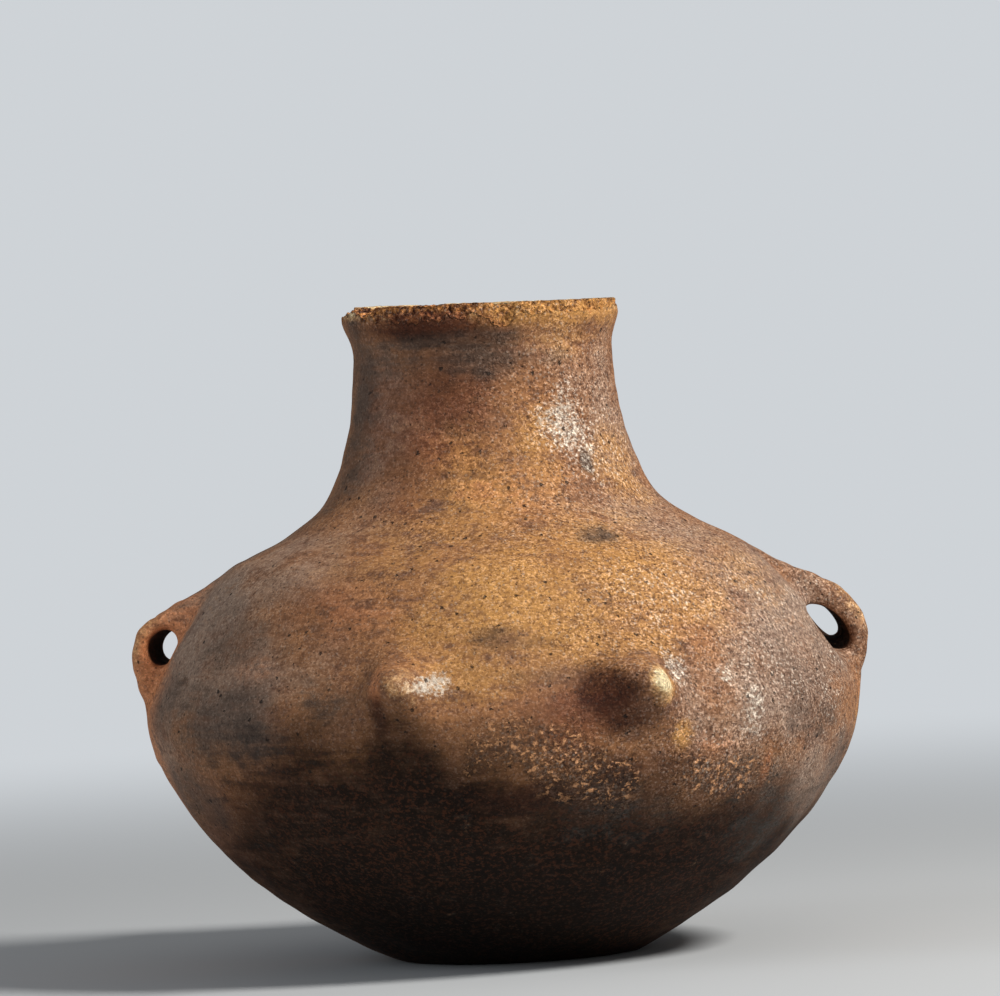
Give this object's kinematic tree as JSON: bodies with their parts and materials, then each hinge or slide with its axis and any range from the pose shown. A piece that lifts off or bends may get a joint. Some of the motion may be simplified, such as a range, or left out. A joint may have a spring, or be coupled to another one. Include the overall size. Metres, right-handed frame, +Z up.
{
  "type": "terracotta vase",
  "caption": "Hand-built terracotta jar with a wide round body, small flat foot, tall neck with a chipped lip, pierced lugs and blunt knobs.",
  "frame": {"origin": "centre of the flat underside of the foot", "axes": "+Z up along the axis of the body, -Y towards the side with the pair of front knobs, +X towards the right-hand lug"},
  "size_m": [0.2832, 0.2834, 0.25],
  "materials": {
    "ochre_clay": "smoothed, matt, ochre",
    "mottled_clay": "smoothed, matt, ochre and grey-brown fire clouds",
    "smoked_clay": "matt, sooty",
    "orange_clay": "matt, gritty, orange",
    "broken_clay": "rough, broken",
    "worn_clay": "rubbed, pale ochre"
  },
  "bodies": {
    "root": {"base_disc": "smoked_clay", "lower_wall_course": "smoked_clay", "middle_wall_course": "smoked_clay", "belly_course": "mottled_clay", "lower_shoulder_course": "mottled_clay", "middle_shoulder_course": "mottled_clay", "upper_shoulder_course": "ochre_clay", "neck_root_course": "ochre_clay", "neck_course": "ochre_clay", "rim_course": "broken_clay", "left_lug": "orange_clay", "right_lug": "orange_clay", "front_left_knob": "worn_clay", "front_right_knob": "worn_clay", "back_right_knob": "worn_clay", "back_left_knob": "worn_clay"}
  },
  "joints": []
}
